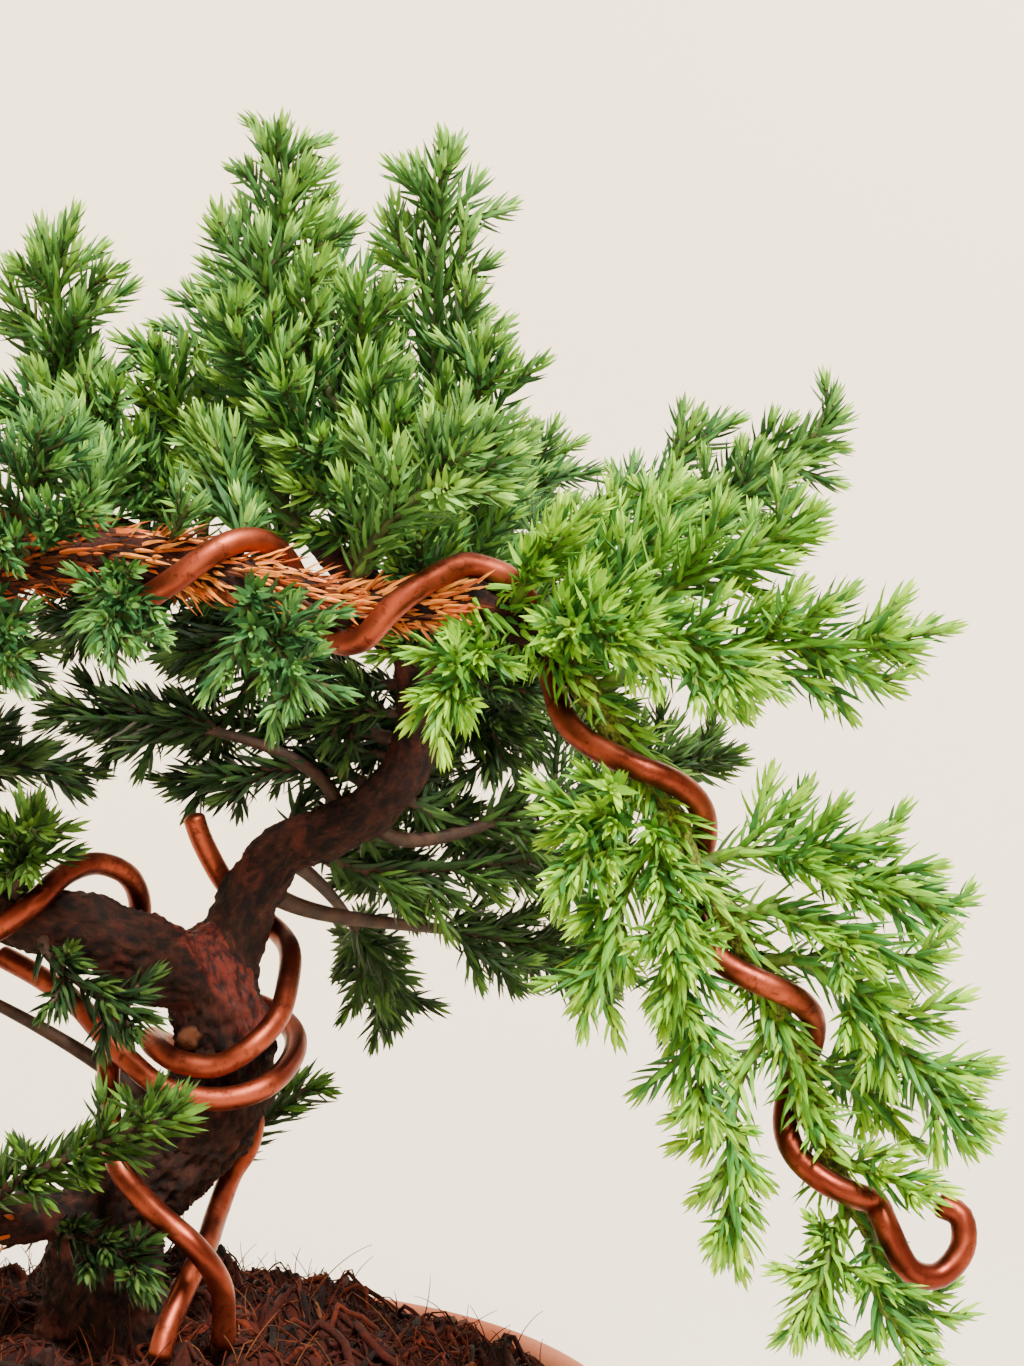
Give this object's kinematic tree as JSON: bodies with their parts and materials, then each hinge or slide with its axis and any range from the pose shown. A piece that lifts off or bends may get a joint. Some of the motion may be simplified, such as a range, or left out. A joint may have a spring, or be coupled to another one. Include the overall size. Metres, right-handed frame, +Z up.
{
  "type": "juniper bonsai in a clay pot",
  "caption": "Small wired juniper bonsai: a bent trunk, two limbs, a long bough that arches over and cascades, whorled needles, on a coir root ball in a round clay pot.",
  "frame": {"origin": "centre of the pot's flat underside", "axes": "+Z up; the viewer of the picture stands on the -Y side, with +X to the right"},
  "size_m": [0.2231, 0.1722, 0.29],
  "materials": {
    "clay": "matt unglazed clay",
    "coir": "rough fibre",
    "bark": "rough bark",
    "copper_wire": "copper-coloured, satin",
    "needles": "blue-green needles",
    "fresh_needles": "fresh green needles"
  },
  "bodies": {
    "root": {"bough_far_left": "needles", "bough_tuft_left": "needles", "bough_tuft_mid": "needles", "bough_up_left": "needles", "bough_wire": "copper_wire", "cascade": "bark", "cascade_down": "fresh_needles", "cascade_drop": "fresh_needles", "cascade_end": "fresh_needles", "cascade_end_left": "fresh_needles", "cascade_inner_down": "fresh_needles", "cascade_left": "fresh_needles", "cascade_right": "fresh_needles", "cascade_right_low": "fresh_needles", "crown_bough": "bark", "crown_front": "needles", "crown_leader": "needles", "crown_shoulder": "needles", "dark_spire": "needles", "far_left_low": "needles", "far_left_mid": "needles", "far_left_rear": "needles", "far_left_top": "needles", "front_low_spray": "needles", "front_right_tuft": "needles", "front_tuft": "needles", "left_bend": "bark", "left_limb": "bark", "left_limb_tuft": "needles", "left_spire": "needles", "limb_spray": "needles", "limb_wire": "copper_wire", "low_droop": "needles", "low_left": "needles", "low_left_bough": "bark", "main_bough": "bark", "mid_left": "needles", "mid_rear": "needles", "pad_front_under": "fresh_needles", "pad_right_long": "fresh_needles", "pad_right_upper": "fresh_needles", "pad_top_left": "needles", "pad_top_mid": "fresh_needles", "pot": "clay", "rear_back": "needles", "rear_bough": "bark", "rear_leader": "needles", "rear_left": "needles", "rear_low_mid": "needles", "rear_low_right": "needles", "rear_right": "needles", "rear_spire": "needles", "right_limb": "bark", "right_shoulder": "needles", "right_spire": "needles", "ring_wire": "copper_wire", "root_ball": "coir", "trunk": "bark", "trunk_sprig": "needles", "under_left": "needles"}
  },
  "joints": []
}
